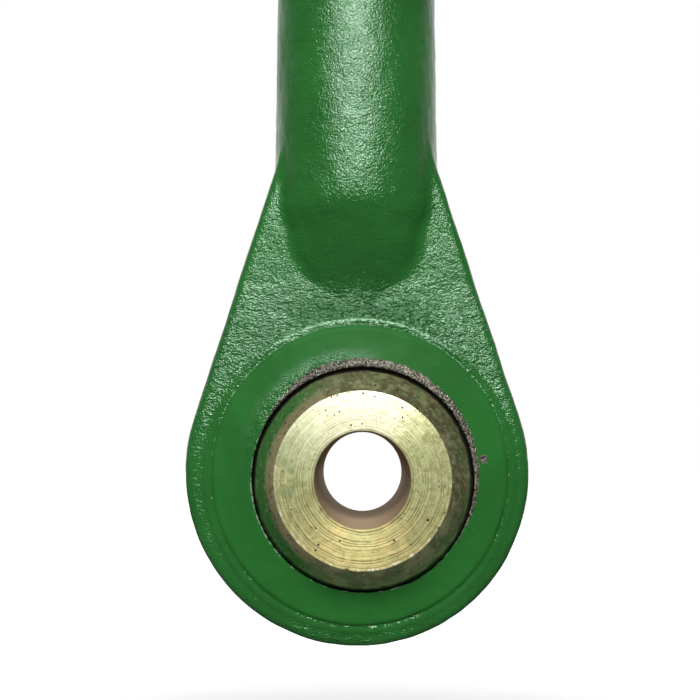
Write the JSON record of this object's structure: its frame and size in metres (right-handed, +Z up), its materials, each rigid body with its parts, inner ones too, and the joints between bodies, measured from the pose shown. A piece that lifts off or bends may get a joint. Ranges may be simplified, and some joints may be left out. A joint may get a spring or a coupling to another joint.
{
  "type": "tractor leveling arm",
  "caption": "Adjustable lift rod: a forged barrel with a ball-bushed eye, a leveling screw, a geared hand crank and a forked upper yoke.",
  "frame": {"origin": "centre of the lower ball bushing", "axes": "+Z up the screw to the yoke, +Y along the bore of the lower ball, +X towards the crank"},
  "size_m": [0.2758, 0.12, 0.6508],
  "materials": {
    "green_paint": "semi-gloss green paint over rough forged and cast steel",
    "yellow_zinc": "turned steel with yellow zinc plating",
    "screw_steel": "oiled turned steel",
    "gear_steel": "hardened steel in grease",
    "zinc_plate": "bright zinc plating",
    "bronze": "oily sintered bronze",
    "seal_rubber": "black nitrile rubber",
    "gasket_fibre": "oiled fibre sheet",
    "grip_plastic": "moulded black plastic"
  },
  "bodies": {
    "yoke": {"upper_yoke": "green_paint", "pivot_bolt": "zinc_plate", "pivot_washers": "zinc_plate", "pivot_nut": "zinc_plate", "pivot_cotter": "zinc_plate"},
    "housing": {"gear_housing": "green_paint", "screw_bush": "bronze", "lower_race": "gear_steel", "shaft_bush": "bronze", "shaft_seal": "seal_rubber", "pinion_thrust_washer": "bronze", "filler_plug": "green_paint", "housing_grease_fitting": "zinc_plate", "housing_gasket": "gasket_fibre", "housing_cap": "green_paint", "cap_bolts": "zinc_plate", "cap_washers": "zinc_plate", "pivot_bushes": "bronze"},
    "screw": {"leveling_screw": "screw_steel", "lower_thrust_washer": "zinc_plate", "upper_race": "gear_steel", "driven_gear": "gear_steel", "gear_key": "gear_steel", "gear_nut": "zinc_plate", "gear_nut_pin": "zinc_plate"},
    "bearing": {"bearing_cage": "bronze", "bearing_balls": "gear_steel"},
    "crank": {"crank_shaft": "screw_steel", "bevel_pinion": "gear_steel", "pinion_pin": "zinc_plate", "crank_washer": "zinc_plate", "crank_arm": "green_paint", "crank_pin": "zinc_plate", "handle_spindle": "screw_steel", "grip_washer": "zinc_plate", "grip_split_pin": "zinc_plate"},
    "grip": {"hand_grip": "grip_plastic"},
    "barrel": {"lower_barrel": "green_paint", "mouth_seal": "seal_rubber", "barrel_grease_fitting": "zinc_plate"},
    "ball": {"ball_bushing": "yellow_zinc"}
  },
  "joints": [
    {"name": "housing_swing", "type": "hinge", "parent": "yoke", "child": "housing", "pos_m": [0, 0, 0.49326], "axis": [1, 0, 0], "range_deg": [-15, 15]},
    {"name": "crank_turn", "type": "hinge", "parent": "housing", "child": "crank", "pos_m": [0, 0, 0.42408], "axis": [1, 0, 0], "range_deg": [-4320, 4500]},
    {"name": "screw_turn", "type": "hinge", "parent": "housing", "child": "screw", "pos_m": [0, 0, 0], "axis": [0, 0, 1], "range_deg": [-2880.01, 3000.01]},
    {"name": "bearing_turn", "type": "hinge", "parent": "housing", "child": "bearing", "pos_m": [0, 0, 0], "axis": [0, 0, 1], "range_deg": [-1440.01, 1500.01]},
    {"name": "barrel_slide", "type": "slide", "parent": "housing", "child": "barrel", "axis": [0, 0, 1], "range_m": [-0.05001, 0.04801]},
    {"name": "ball_tilt", "type": "hinge", "parent": "barrel", "child": "ball", "pos_m": [0, 0, 0], "axis": [1, 0, 0], "range_deg": [-15, 15]},
    {"name": "grip_turn", "type": "hinge", "parent": "crank", "child": "grip", "pos_m": [0.1156, 0, 0.26408], "axis": [1, 0, 0], "continuous": true}
  ],
  "couplings": [
    {"joint": "screw_turn", "follows": "crank_turn", "ratio": 0.66667},
    {"joint": "bearing_turn", "follows": "crank_turn", "ratio": 0.33333},
    {"joint": "barrel_slide", "follows": "crank_turn", "m_per_rad": -0.00063662}
  ]
}
